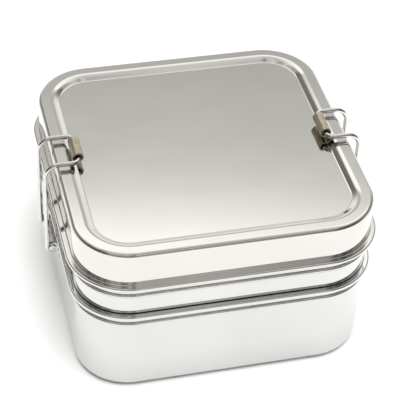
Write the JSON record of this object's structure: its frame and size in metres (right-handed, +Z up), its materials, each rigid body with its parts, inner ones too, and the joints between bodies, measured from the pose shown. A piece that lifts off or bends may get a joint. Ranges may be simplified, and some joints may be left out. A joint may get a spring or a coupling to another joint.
{
  "type": "tiffin carrier",
  "caption": "Square stacked metal lunch carrier: deep lower box, shallow nesting tray, lid with recessed panel, and a swinging wire clip with roller sleeve on each side.",
  "frame": {"origin": "centre of the flat bottom of the lower box, on the surface it stands on", "axes": "+Z up through the stack, +X towards the right clip, +Y towards the back; the clips are on the two X sides"},
  "size_m": [0.1526, 0.1456, 0.09],
  "materials": {
    "polished_steel": "mirror polished",
    "lid_steel": "polished with a fine satin panel",
    "wire_steel": "bright drawn wire",
    "hinge_steel": "polished, with weld spots",
    "sleeve_steel": "heat-tinted, satin"
  },
  "bodies": {
    "box": {"lower_box": "polished_steel", "left_hinge_plate": "hinge_steel", "right_hinge_plate": "hinge_steel", "left_hinge_pin": "hinge_steel", "right_hinge_pin": "hinge_steel"},
    "tray": {"upper_tray": "polished_steel"},
    "lid": {"lid": "lid_steel"},
    "left_clip": {"left_clip_wire": "wire_steel"},
    "right_clip": {"right_clip_wire": "wire_steel"},
    "left_sleeve": {"left_roller_sleeve": "sleeve_steel"},
    "right_sleeve": {"right_roller_sleeve": "sleeve_steel"}
  },
  "joints": [
    {"name": "lid_lift", "type": "slide", "parent": "box", "child": "lid", "axis": [0, 0, 1], "range_m": [0, 0.013]},
    {"name": "tray_lift", "type": "slide", "parent": "box", "child": "tray", "axis": [0, 0, 1], "range_m": [0, 0.0065]},
    {"name": "left_clip_swing", "type": "hinge", "parent": "box", "child": "left_clip", "pos_m": [-0.0728, 0.0036, 0.0376], "axis": [0, -1, 0], "range_deg": [0, 122]},
    {"name": "right_clip_swing", "type": "hinge", "parent": "box", "child": "right_clip", "pos_m": [0.0728, 0.0004, 0.0376], "axis": [0, 1, 0], "range_deg": [0, 122]},
    {"name": "left_sleeve_spin", "type": "hinge", "parent": "left_clip", "child": "left_sleeve", "pos_m": [-0.0593, 0.0036, 0.08735], "axis": [0, 1, 0], "continuous": true},
    {"name": "right_sleeve_spin", "type": "hinge", "parent": "right_clip", "child": "right_sleeve", "pos_m": [0.0593, 0.0004, 0.08735], "axis": [0, 1, 0], "continuous": true}
  ],
  "couplings": [
    {"joint": "tray_lift", "follows": "lid_lift", "ratio": 0.5},
    {"joint": "left_clip_swing", "follows": "lid_lift", "rad_per_m": 163.8},
    {"joint": "right_clip_swing", "follows": "lid_lift", "rad_per_m": 163.8}
  ]
}
